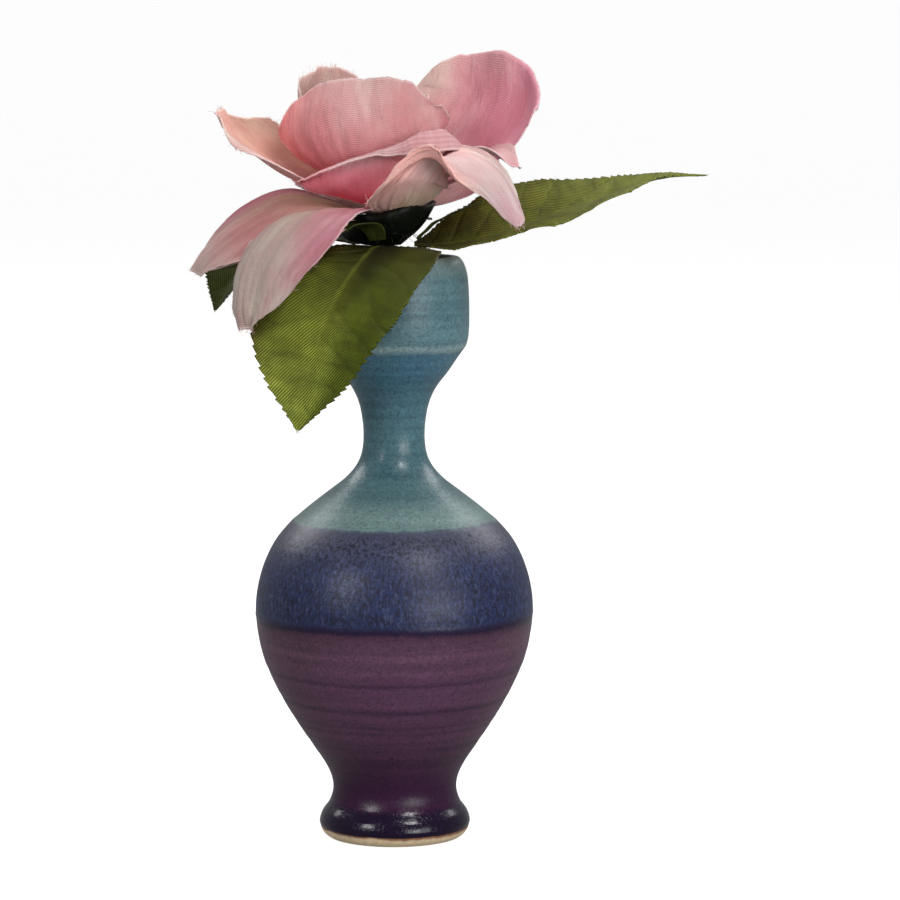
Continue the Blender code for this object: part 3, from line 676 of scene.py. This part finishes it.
def bent(design, across, along):
    """Points of a thin piece, for arrays across (-1 to 1) and along (0 to 1)."""
    azimuth, fall, stations = design
    if fall is not None:
        shorter = np.where(across > 0, fall[1], fall[0]) * np.abs(across) ** fall[2]
        along = along * (1 - shorter)
    station = stations_at(stations, along)
    half, cup, roll = station[..., 3], np.radians(station[..., 4]), np.radians(station[..., 5])
    forward = unit(middle_line(azimuth, stations_at(stations, np.minimum(along + 0.01, 1)))
                   - middle_line(azimuth, stations_at(stations, np.maximum(along - 0.01, 0))))
    turn = math.radians(azimuth)
    side = np.broadcast_to((-math.sin(turn), math.cos(turn), 0.0), forward.shape)
    inward = unit(np.cross(forward, side))
    side = np.cross(inward, forward)
    c, s = np.cos(roll)[..., None], np.sin(roll)[..., None]
    side, inward = side * c + inward * s, inward * c - side * s
    if fall is None:
        sideways, rise = half * across * np.cos(cup), half * np.abs(across) * np.sin(cup)
    else:
        cup = np.where(np.abs(cup) < 0.001, 0.001, cup)
        sideways = half * np.sin(cup * across) / cup
        rise = half * (1 - np.cos(cup * across)) / cup
    return middle_line(azimuth, station) + side * sideways[..., None] + inward * rise[..., None]


def normals_of(points):
    return unit(np.cross(np.gradient(points, axis=0), np.gradient(points, axis=1)))


def waves(seed, count=5):
    """A smooth random function of one number, the same in each run."""
    draw = np.random.default_rng(seed)
    parts = [(k + draw.uniform(0, 1), draw.uniform(0, TAU), 1 / (k + 1)) for k in range(1, count + 1)]
    return lambda x: sum(size * np.sin(speed * x + phase) for speed, phase, size in parts)


def runs(points, axis):
    """Distances covered over a grid of points along one axis, from 0."""
    steps = np.cumsum(np.linalg.norm(np.diff(points, axis=axis), axis=-1), axis=axis)
    return np.concatenate((np.zeros_like(np.take(steps, [0], axis=axis)), steps), axis=axis)


def add_cloth(name, points, look, dye, thickness):
    """A sheet of cloth from a grid of points, with its dye, its flat measures and its thickness."""
    rows, columns = points.shape[:2]
    item = add_mesh(name, points.reshape(-1, 3), grid_faces(rows, columns), look, "head",
                    [name.replace("cloth_", "")])
    mesh = item.data
    middle = [columns // 2]
    width = runs(points, 1)
    width -= width[:, middle]
    length = np.repeat(runs(points, 0)[:, middle], columns, axis=1)
    flat = np.stack((width, length), axis=-1).reshape(-1, 2)
    corners = np.empty(len(mesh.loops), dtype=np.int64)
    mesh.loops.foreach_get("vertex_index", corners)
    mesh.uv_layers.new(name="cloth").data.foreach_set("uv", flat[corners].astype(np.float32).ravel())
    colours = np.concatenate((dye.reshape(-1, 3), np.ones((rows * columns, 1))), axis=1)
    mesh.color_attributes.new("dye", "FLOAT_COLOR", "POINT").data.foreach_set(
        "color", colours.astype(np.float32).ravel())
    edge = np.minimum(np.minimum(width - width[:, :1], width[:, -1:] - width),
                      runs(points[::-1], 0)[::-1])
    mesh.attributes.new("edge", "FLOAT", "POINT").data.foreach_set(
        "value", edge.astype(np.float32).ravel())
    thicken(item, thickness)
    return item


def dye_over(table, across, along):
    """Blend of the dye's spots by distance."""
    weights, total = 0.0, 0.0
    for place_over, place_along, reach, colour in table:
        apart = (across - place_over) ** 2 * 0.6 + (along - place_along) ** 2 * 1.6
        near = np.exp(-apart / reach ** 2)[..., None] + 1e-6
        total = total + near * np.array(colour)
        weights = weights + near
    return total / weights


def petal_look(name):
    """Stiffened woven cloth: threads both ways, their crowns painted lighter as painted highlight and the
    gaps painted darker as painted shade, uneven dye, pale edges (partly cut threads, partly painted rim
    light) and a soft sheen.
    """
    look = Look(name, Specular_IOR_Level=0.18, Sheen_Weight=0.12, Sheen_Roughness=0.5)
    flat = look.cloth()
    over, along = look.parts(flat)[0], look.parts(flat)[1]
    wander = look.times(look.noise(flat, 0.12, 1), 0.9)
    warp = look.math("SINE", look.times(look.math("ADD", over, wander), TAU / WARP_PITCH))
    weft = look.math("SINE", look.times(look.math("ADD", along, wander), TAU / WEFT_PITCH))
    weave = look.math("MULTIPLY_ADD", look.times(warp, weft), 0.55,
                      look.times(weft, 0.45))
    dye = look.node("Attribute", attribute_name="dye").outputs["Color"]
    blotch = look.noise(look.scaled(flat, (0.11, 0.055, 1)), 1.0, 3, 0.55)
    colour = look.toned(dye, look.steps(blotch, 0.46, 0.68, 0.0, 0.62), (1.16, 1.48, 1.38))
    colour = look.toned(colour, look.steps(blotch, 0.50, 0.28, 0.0, 0.42), (0.90, 0.58, 0.62))
    fibre = look.noise(look.scaled(flat, (0.9, 0.10, 1)), 1.0, 2, 0.5)
    colour = look.toned(colour, look.steps(fibre, 0.50, 0.75, 0.0, 0.3), (1.12, 1.35, 1.30))
    # Painted highlight on the thread crowns, and painted shade in the gaps between the threads
    colour = look.toned(colour, look.steps(weave, 0.0, 0.9, 0.0, 0.55), (1.20, 1.42, 1.40))
    colour = look.toned(colour, look.steps(weave, 0.0, -0.9, 0.0, 0.5), (0.74, 0.52, 0.55))
    # Pale near the rim: partly the paler cut threads, partly painted rim light
    edge = look.node("Attribute", attribute_name="edge").outputs["Fac"]
    pale_edge_and_rim_light = look.times(look.steps(edge, 0.9, 0.15, 0.0, 0.75), look.noise(flat, 0.8, 3))
    colour = look.blend(pale_edge_and_rim_light, colour, (0.90, 0.74, 0.72))
    look.colour(colour)
    look.roughness(look.steps(weave, -1.0, 1.0, 0.85, 0.60))
    look.put(look.shader.inputs["Sheen Tint"], (1.0, 0.85, 0.85))
    look.bump(weave, 0.00008, 0.7)
    look.bump(fibre, 0.0002, 0.4)
    look.bump(look.noise(look.scaled(flat, (0.32, 0.12, 1)), 1.0, 3), 0.0011, 0.8)
    return look


def leaf_look(name):
    """Green satin: a slanting weave whose floats are painted lighter as painted highlight and whose gaps are
    painted darker as painted shade, veins pressed in, browner near the base, and on the front leaf near
    black there as painted shade from the bloom.
    """
    look = Look(name, Specular_IOR_Level=0.42, Specular_Tint=(0.85, 0.95, 0.35, 1.0))
    flat = look.cloth()
    over, along = look.parts(flat)[0], look.parts(flat)[1]
    wander = look.times(look.noise(flat, 0.10, 1), 0.35)
    slant = look.math("ADD", look.times(over, 0.83), look.times(along, 0.56))
    rib = look.math("SINE", look.times(look.math("ADD", slant, wander), TAU / RIB_PITCH))
    cross = look.math("SUBTRACT", look.times(over, 0.56), look.times(along, 0.83))
    tie = look.math("SINE", look.times(look.math("ADD", cross, wander), TAU / TIE_PITCH))
    weave = look.math("MULTIPLY_ADD", look.times(rib, tie), 0.25, look.times(rib, 0.75))
    dye = look.node("Attribute", attribute_name="dye").outputs["Color"]
    blotch = look.noise(look.scaled(flat, (0.16, 0.10, 1)), 1.0, 4, 0.6)
    colour = look.toned(dye, look.steps(blotch, 0.42, 0.68, 0.0, 0.45), (1.5, 1.4, 1.3))
    colour = look.blend(look.steps(blotch, 0.52, 0.30, 0.0, 0.45), colour,
                        look.blend(1.0, dye, (0.72, 0.58, 0.5), "MULTIPLY"))
    # Painted highlight: the satin floats are painted several times lighter where they would catch the light,
    # more so in patches
    patch = look.noise(look.scaled(flat, (0.10, 0.16, 1)), 1.0, 3, 0.6)
    floats = look.times(look.steps(weave, 0.1, 0.95, 0.0, 0.95), look.steps(patch, 0.36, 0.62, 0.35, 1.0))
    colour = look.toned(colour, floats, (3.6, 3.4, 2.9))
    # Painted shade in the gaps between the floats
    colour = look.toned(colour, look.steps(weave, 0.0, -0.9, 0.0, 0.6), (0.38, 0.34, 0.25))
    dark = look.noise(look.scaled(flat, (0.05, 0.32, 1)), 1.0, 3, 0.55)
    colour = look.toned(colour, look.steps(dark, 0.52, 0.70, 0.0, 0.55), (0.50, 0.46, 0.5))
    colour = look.toned(colour, look.steps(dark, 0.46, 0.32, 0.0, 0.5), (1.55, 1.5, 1.6))
    look.colour(colour)
    look.roughness(look.steps(weave, -1.0, 1.0, 0.62, 0.36))
    look.bump(weave, 0.00014, 0.7)
    look.bump(look.noise(look.scaled(flat, (0.5, 0.3, 1)), 1.0, 3), 0.0005, 0.6)
    return look


def shape_petal(name):
    """Grid of points of a petal, and its places over and along the cloth."""
    design = PETALS[name]
    seed = sum(ord(letter) * (index + 1) for index, letter in enumerate(name))
    width = max(station[3] for station in design[2])
    columns = 61 if width > 10 else 41
    rows = 72 if width > 10 else 48
    across, along = np.meshgrid(np.linspace(-1, 1, columns), np.linspace(0, 1, rows))
    rim = 1 - 0.012 * (1 + waves(seed, 9)(5 * across) * 0.6) - 0.006 * np.abs(np.sin(31 * across + seed))
    if name in RIMS:
        places = RIMS[name]
        rim = rim * np.interp(across, np.linspace(-1, 1, len(places)), places)
        design = (design[0], (0, 0, 1), design[2])
    torn = 0.020 * (1 + waves(seed + 7, 9)(9 * along)) + 0.014 * np.abs(np.sin(40 * along + seed))
    points = bent(design, across * (1 - torn * np.abs(across) ** 12), along * rim)
    for place_over, place_along, spread, shift in PULLS.get(name, ()):
        near = np.exp(-((across - place_over) ** 2 + ((along - place_along) * 1.6) ** 2) / spread ** 2)
        points = points + near[..., None] * np.array(shift)
    normal = normals_of(points)
    count, size, phase = RUFFLES.get(name, (2.0, 0.35, 0.0))
    outer = np.clip(np.maximum(along, np.abs(across) ** 3 * along ** 0.5), 0, 1)
    wave = np.sin(count * math.pi * across + phase + 1.5 * along) * outer ** 3 * size
    crease = waves(seed + 1, 6)(9 * across + 1.2 * along) * 0.16
    crease = crease * np.sin(math.pi * np.clip(along * 1.05, 0, 1))
    dimple = waves(seed + 2, 4)(4 * along + 2 * across) * waves(seed + 3, 4)(5 * across) * 0.22 * along
    points = points + normal * (wave + (crease + dimple) * CREASES.get(name, 1.0))[..., None]
    if name in LIPS:
        angle, strip = LIPS[name]
        turn = math.radians(angle)
        band = np.interp(np.linspace(-1, 1, columns), np.linspace(-1, 1, len(strip)), strip)[:, None]
        radius = np.minimum(LIP_RADIUS, band / turn)
        forward = unit(points[-1] - points[-3])
        outward = unit(np.cross(np.gradient(points[-1], axis=0), forward))
        extra = []
        for row in range(1, LIP_ROWS + 1):
            run = band * row / LIP_ROWS
            bend = np.minimum(run / radius, turn)
            rest = run - bend * radius
            extra.append(points[-1] + forward * (radius * np.sin(bend) + rest * np.cos(bend))
                         + outward * (radius * (1 - np.cos(bend)) + rest * np.sin(bend)))
        points = np.concatenate((points, np.array(extra)))
        over = np.concatenate((across, np.repeat(across[-1:], LIP_ROWS, axis=0)))
        steps_up = 1 + 0.16 * np.linspace(1 / LIP_ROWS, 1, LIP_ROWS)
        along = np.concatenate((along, np.repeat(steps_up[:, None], columns, axis=1)))
        across = over
    return points, across, along


def make_threads(name, rims, count, seed, length, look, radius=0.045):
    """Loose threads standing out from a rim; rims is rows of (point, direction)."""
    draw = np.random.default_rng(seed)
    points, faces = [], []
    for _ in range(count):
        place, direction = rims[draw.integers(len(rims))]
        size = length * draw.uniform(0.35, 1.0)
        aim = unit(direction + draw.normal(0, 0.45, 3))
        curl = draw.normal(0, 0.35, 3)
        steps = np.linspace(-0.15, 1, 6)[:, None]
        route = place + aim * size * steps + curl * size * 0.5 * steps ** 2
        some, sides = tube(route, np.linspace(radius, radius * 0.6, 6), 4)
        faces += [tuple(index + len(points) for index in face) for face in sides]
        points += some
    return add_mesh(name, points, faces, look, "head", [])


def thread_look(name, colour):
    look = Look(name, Roughness=0.8, Specular_IOR_Level=0.2, Sheen_Weight=0.3)
    look.colour(look.blend(look.noise(look.place(), 900, 2), colour,
                           tuple(min(1.0, part * 1.35 + 0.05) for part in colour)))
    return look


# Loose threads on a petal's rim: how many, and how long at most
FRAYS = {
    "middle_petal_4": (90, 1.5), "inner_petal_2": (80, 1.4), "outer_petal_3": (110, 1.5),
    "outer_petal_1": (60, 1.5), "middle_petal_3": (50, 1.0), "outer_petal_2": (50, 1.2),
    "inner_petal_1": (30, 0.9), "middle_petal_1": (30, 0.9), "middle_petal_2": (24, 1.1),
    "middle_petal_5": (40, 1.3), "outer_petal_4": (50, 1.4), "outer_petal_5": (50, 1.4),
}


def rim_of(points):
    """Places round the free rim with the way out from the cloth there."""
    rows, columns = points.shape[:2]
    places = [(points[-1, k], unit(points[-1, k] - points[-3, k])) for k in range(1, columns - 1)]
    for row in range(rows // 2, rows - 1):
        places.append((points[row, 0], unit(points[row, 0] - points[row, 2])))
        places.append((points[row, -1], unit(points[row, -1] - points[row, -3])))
    return places


def make_petals():
    look = petal_look("petal_cloth")
    thread = thread_look("petal_thread", (0.60, 0.36, 0.34))
    for index, name in enumerate(PETALS):
        points, across, along = shape_petal(name)
        dye = dye_over(DYES.get(name, PLAIN_DYE), across, along)
        if name in FRAYS:
            count, length = FRAYS[name]
            make_threads("fray_" + name, rim_of(points), count, 100 + index, length,
                                        thread)
        add_cloth("cloth_" + name, points, look, dye, PETAL_THICKNESS)


make_petals()


def shape_leaf(name, rows=220, columns=45):
    """A leaf: saw-toothed rim, pressed side veins and the blade puffed up between them."""
    design = LEAVES[name]
    seed = sum(ord(letter) for letter in name)
    across, along = np.meshgrid(np.linspace(-1, 1, columns), np.linspace(0, 1, rows))
    wander = waves(seed, 6)(14 * along)
    for side in (-1, 1):
        mask = (across * side > 0)
        teeth = ((along * (46 + 4 * side) + 0.5 * wander) % 1.0)
        station = stations_at(design[2], along)
        depth = (0.55 + 0.35 * np.sin(9 * along + side)) * 1.7 / np.maximum(station[..., 3], 3.0)
        shrink = 1 - depth * teeth * np.abs(across) ** 10
        across = np.where(mask, across * shrink, across)
    half = stations_at(design[2], along)[..., 3]
    reach = np.abs(across) * half
    lines = along * 9.5 - reach * 0.075 + 0.22 * waves(seed + 9, 4)(7 * along) + 0.3 * (across > 0)
    lines = lines % 1.0
    vein = np.exp(-(np.minimum(lines, 1 - lines) / 0.07) ** 2)
    puff = np.sin(math.pi * lines) * np.clip(reach / 3, 0, 1)
    puff = puff * np.clip((1 - np.abs(across)) * 3, 0.25, 1)
    rib = np.exp(-(reach / 0.55) ** 2)
    fade = np.sin(math.pi * np.clip(along, 0.02, 0.98)) ** 0.5
    points = bent(design, across, along)
    normal = normals_of(points)
    if normal[rows // 3, columns // 2, 2] < 0:
        normal = -normal
    lift = (0.26 * puff - 0.22 * vein * np.clip(reach / 2, 0, 1)) * fade + 0.35 * rib * (1 - along) ** 0.5
    lift += 0.5 * waves(seed + 5, 3)(3 * along + np.sign(across)) * across ** 2 * fade
    lift += 0.35 * np.sin(along * 34 + 2 * np.sign(across)) * np.abs(across) ** 6 * fade
    points = points + normal * lift[..., None]
    return points, across, along, vein * np.clip(reach / 1.5, 0, 1), rib


# The front leaf's dye is near black at its base and dark over its upper half: painted shade cast by the
# bloom. The other two leaves only darken towards the base.
LEAF_DYES_AND_SHADE = {
    "leaf_front": ((0, 0.0, 0.2, (0.004, 0.002, 0.001)), (0.1, 0.37, 0.2, (0.002, 0.001, 0.0005)),
                   (-0.8, 0.42, 0.2, (0.040, 0.028, 0.004)), (0.75, 0.42, 0.2, (0.018, 0.018, 0.002)),
                   (-0.1, 0.52, 0.15, (0.026, 0.025, 0.002)), (-0.2, 0.70, 0.22, (0.080, 0.096, 0.010)),
                   (0.7, 0.6, 0.25, (0.042, 0.056, 0.004)), (0, 1.0, 0.3, (0.130, 0.158, 0.026))),
    "leaf_right": ((0, 0.0, 0.3, (0.022, 0.018, 0.002)), (0, 0.35, 0.35, (0.068, 0.068, 0.006)),
                   (0, 0.7, 0.4, (0.100, 0.116, 0.018)), (0, 1.0, 0.3, (0.112, 0.130, 0.034))),
    "leaf_left": ((0, 0.0, 0.4, (0.036, 0.034, 0.003)), (0, 0.7, 0.5, (0.066, 0.084, 0.010))),
}


def make_leaves():
    look = leaf_look("leaf_satin")
    thread = thread_look("leaf_thread", (0.10, 0.11, 0.02))
    for index, name in enumerate(LEAVES):
        points, across, along, vein, rib = shape_leaf(name)
        dye = dye_over(LEAF_DYES_AND_SHADE[name], across, along)
        dye = dye * (1 - 0.22 * vein[..., None]) + 0.06 * vein[..., None] * np.array((0.12, 0.13, 0.03))
        dye = dye * (1 - 0.5 * rib[..., None]) + 0.5 * rib[..., None] * np.array((0.12, 0.14, 0.02))
        threads = [make_threads("fray_" + name, rim_of(points), 60, 200 + index, 1.1, thread,
                                0.04)]
        add_cloth("cloth_" + name, points, look, dye, LEAF_THICKNESS)


make_leaves()


def plastic_look(name, dark, light, rough=0.42):
    """Moulded green plastic with a faint flow pattern and specks of dust."""
    look = Look(name, Specular_IOR_Level=0.22)
    place = look.place()
    colour = look.blend(look.steps(look.noise(place, 160, 3), 0.35, 0.7), dark, light)
    colour = look.blend(look.steps(look.noise(place, 1200, 2), 0.6, 0.75, 0.0, 0.35), colour,
                        (0.06, 0.07, 0.04))
    look.colour(colour)
    look.roughness(look.steps(look.noise(place, 500, 3), 0.3, 0.7, rough - 0.08, rough + 0.15))
    look.bump(look.noise(look.scaled(place, (1, 1, 0.2)), 900, 2), 0.0001, 0.5)
    return look


def wire_look():
    look = Look("drawn_wire", Metallic=1.0, Specular_IOR_Level=0.5)
    place = look.place()
    lines = look.noise(look.scaled(place, (1.0, 1.0, 0.02)), 6000, 2)
    look.colour(look.ramp(lines, ((0.3, (0.30, 0.30, 0.31)), (0.7, (0.55, 0.55, 0.56)))))
    look.roughness(look.steps(lines, 0.3, 0.7, 0.28, 0.5))
    look.bump(lines, 0.00003, 0.5)
    return look


def make_head_core():
    """The calyx cup with its ribs, the sepals, the petioles and the rolled bud."""
    # The calyx and the petioles are near black: partly their own dark green plastic, partly painted shade
    # under the bloom
    dark = plastic_look("calyx_plastic", (0.001, 0.002, 0.001), (0.003, 0.006, 0.002), 0.5)
    profile = [(13.2, 160.8), (12.3, 159.0), (11.0, 156.9), (9.7, 155.6), (8.2, 154.5), (6.4, 153.6),
               (5.4, 153.0), (4.6, 152.6), (2.6, 152.6), (0.9, 152.6), (0.9, 153.5), (2.6, 153.5),
               (4.4, 153.5), (5.8, 154.3), (7.6, 155.3), (9.1, 156.6), (10.8, 158.8), (12.5, 161.2)]

    def ribbed(radius, height, angle):
        outer = np.clip((radius - 4.5) / 8.0, 0, 1)
        ridge = 0.22 * np.abs(np.sin(7.5 * angle)) ** 6 + 0.5 * outer * np.sin(5 * angle + 0.4)
        rise = 0.5 * outer ** 2 * np.sin(5 * angle)
        return radius + ridge * outer, height + rise + 2.4 * outer * np.cos(angle + 0.2)

    turned("calyx", profile, 180, dark, "head", ["calyx_cup"], STEM_X, ribbed)
    green = plastic_look("sepal_plastic", (0.030, 0.040, 0.006), (0.075, 0.085, 0.016), 0.5)
    for name, design in SEPALS.items():
        across, along = np.meshgrid(np.linspace(-1, 1, 13), np.linspace(0, 1, 30))
        points = bent(design, across, along)
        normal = normals_of(points)
        lift = 0.14 * np.exp(-(across / 0.12) ** 2) + 0.12 * np.sin(20 * along) * np.abs(across) ** 2
        points = points + normal * lift[..., None]
        item = add_mesh("fine_" + name, points.reshape(-1, 3), grid_faces(30, 13), green, "head",
                        [name])
        thicken(item, SEPAL_THICKNESS)
    for leaf, (azimuth, _, stations) in LEAVES.items():
        shift = stations[1][2]
        rows = ((2.9, 0.0, 1.0), (5.4, 0.15, 1.0), (8.0, 0.35, 1.0), (10.5, 0.6, 0.8), (13.0, 0.85, 0.6))
        route = middle_line(azimuth, np.array([(out, 151.0, share * shift) for out, share, _ in rows]))
        fine = smooth_curve(route, 6)
        radii = np.interp(np.linspace(0, 1, len(fine)), np.linspace(0, 1, len(rows)),
                          [row[2] * 0.65 for row in rows])
        points, faces = tube(fine, radii, 16)
        name = leaf.replace("leaf", "petiole")
        add_mesh("fine_" + name, points, faces, dark, "head", [name])

    # Dark loose threads hang under the calyx
    roots = [(np.array((STEM_X + 8.0 * math.cos(a), 8.0 * math.sin(a), 156.0)),
              np.array((0.5 * math.cos(a), 0.5 * math.sin(a), -0.6))) for a in np.linspace(4.9, 6.0, 9)]
    make_threads("calyx_threads", roots, 18, 77, 4.6, thread_look("dark_thread", (0.004, 0.005, 0.003)),
                 0.06)

    # The bud's core is one strip of cloth rolled round itself
    turns, rows, columns = 2.3, 30, 110
    angle, along = np.meshgrid(np.linspace(0, turns * TAU, columns), np.linspace(0, 1, rows))
    share = angle / (turns * TAU)
    belly = np.interp(along, (0, 0.3, 0.6, 0.85, 1.0), (0.55, 0.85, 1.0, 0.92, 0.80))
    radius = (0.5 + 2.9 * share) * belly
    height = 168.6 + along * (17.8 - 1.4 * share + 0.5 * np.sin(3 * angle))
    points = np.stack((STEM_X + radius * np.cos(angle), radius * np.sin(angle), height), axis=-1)
    dye = dye_over(((0, 1, 0.6, (0.64, 0.26, 0.28)), (0, 0, 0.4, (0.5, 0.3, 0.2))), share, along)
    add_cloth("cloth_bud_core", points, petal_look("bud_cloth"), dye, BUD_THICKNESS)


make_head_core()


def dress_frame():
    """Materials for the CAD nodes that are shown as they are."""
    dark = plastic_look("stem_plastic", (0.006, 0.014, 0.004), (0.016, 0.032, 0.008))
    looks = {"stem_wire": wire_look(), "stem_sleeve": dark, "leaf_collar": dark, "receptacle": dark}
    for name, look in looks.items():
        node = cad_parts[name]
        if not node.material_slots:
            node.data.materials.append(look.material)
        for slot in node.material_slots:
            slot.material = look.material


dress_frame()
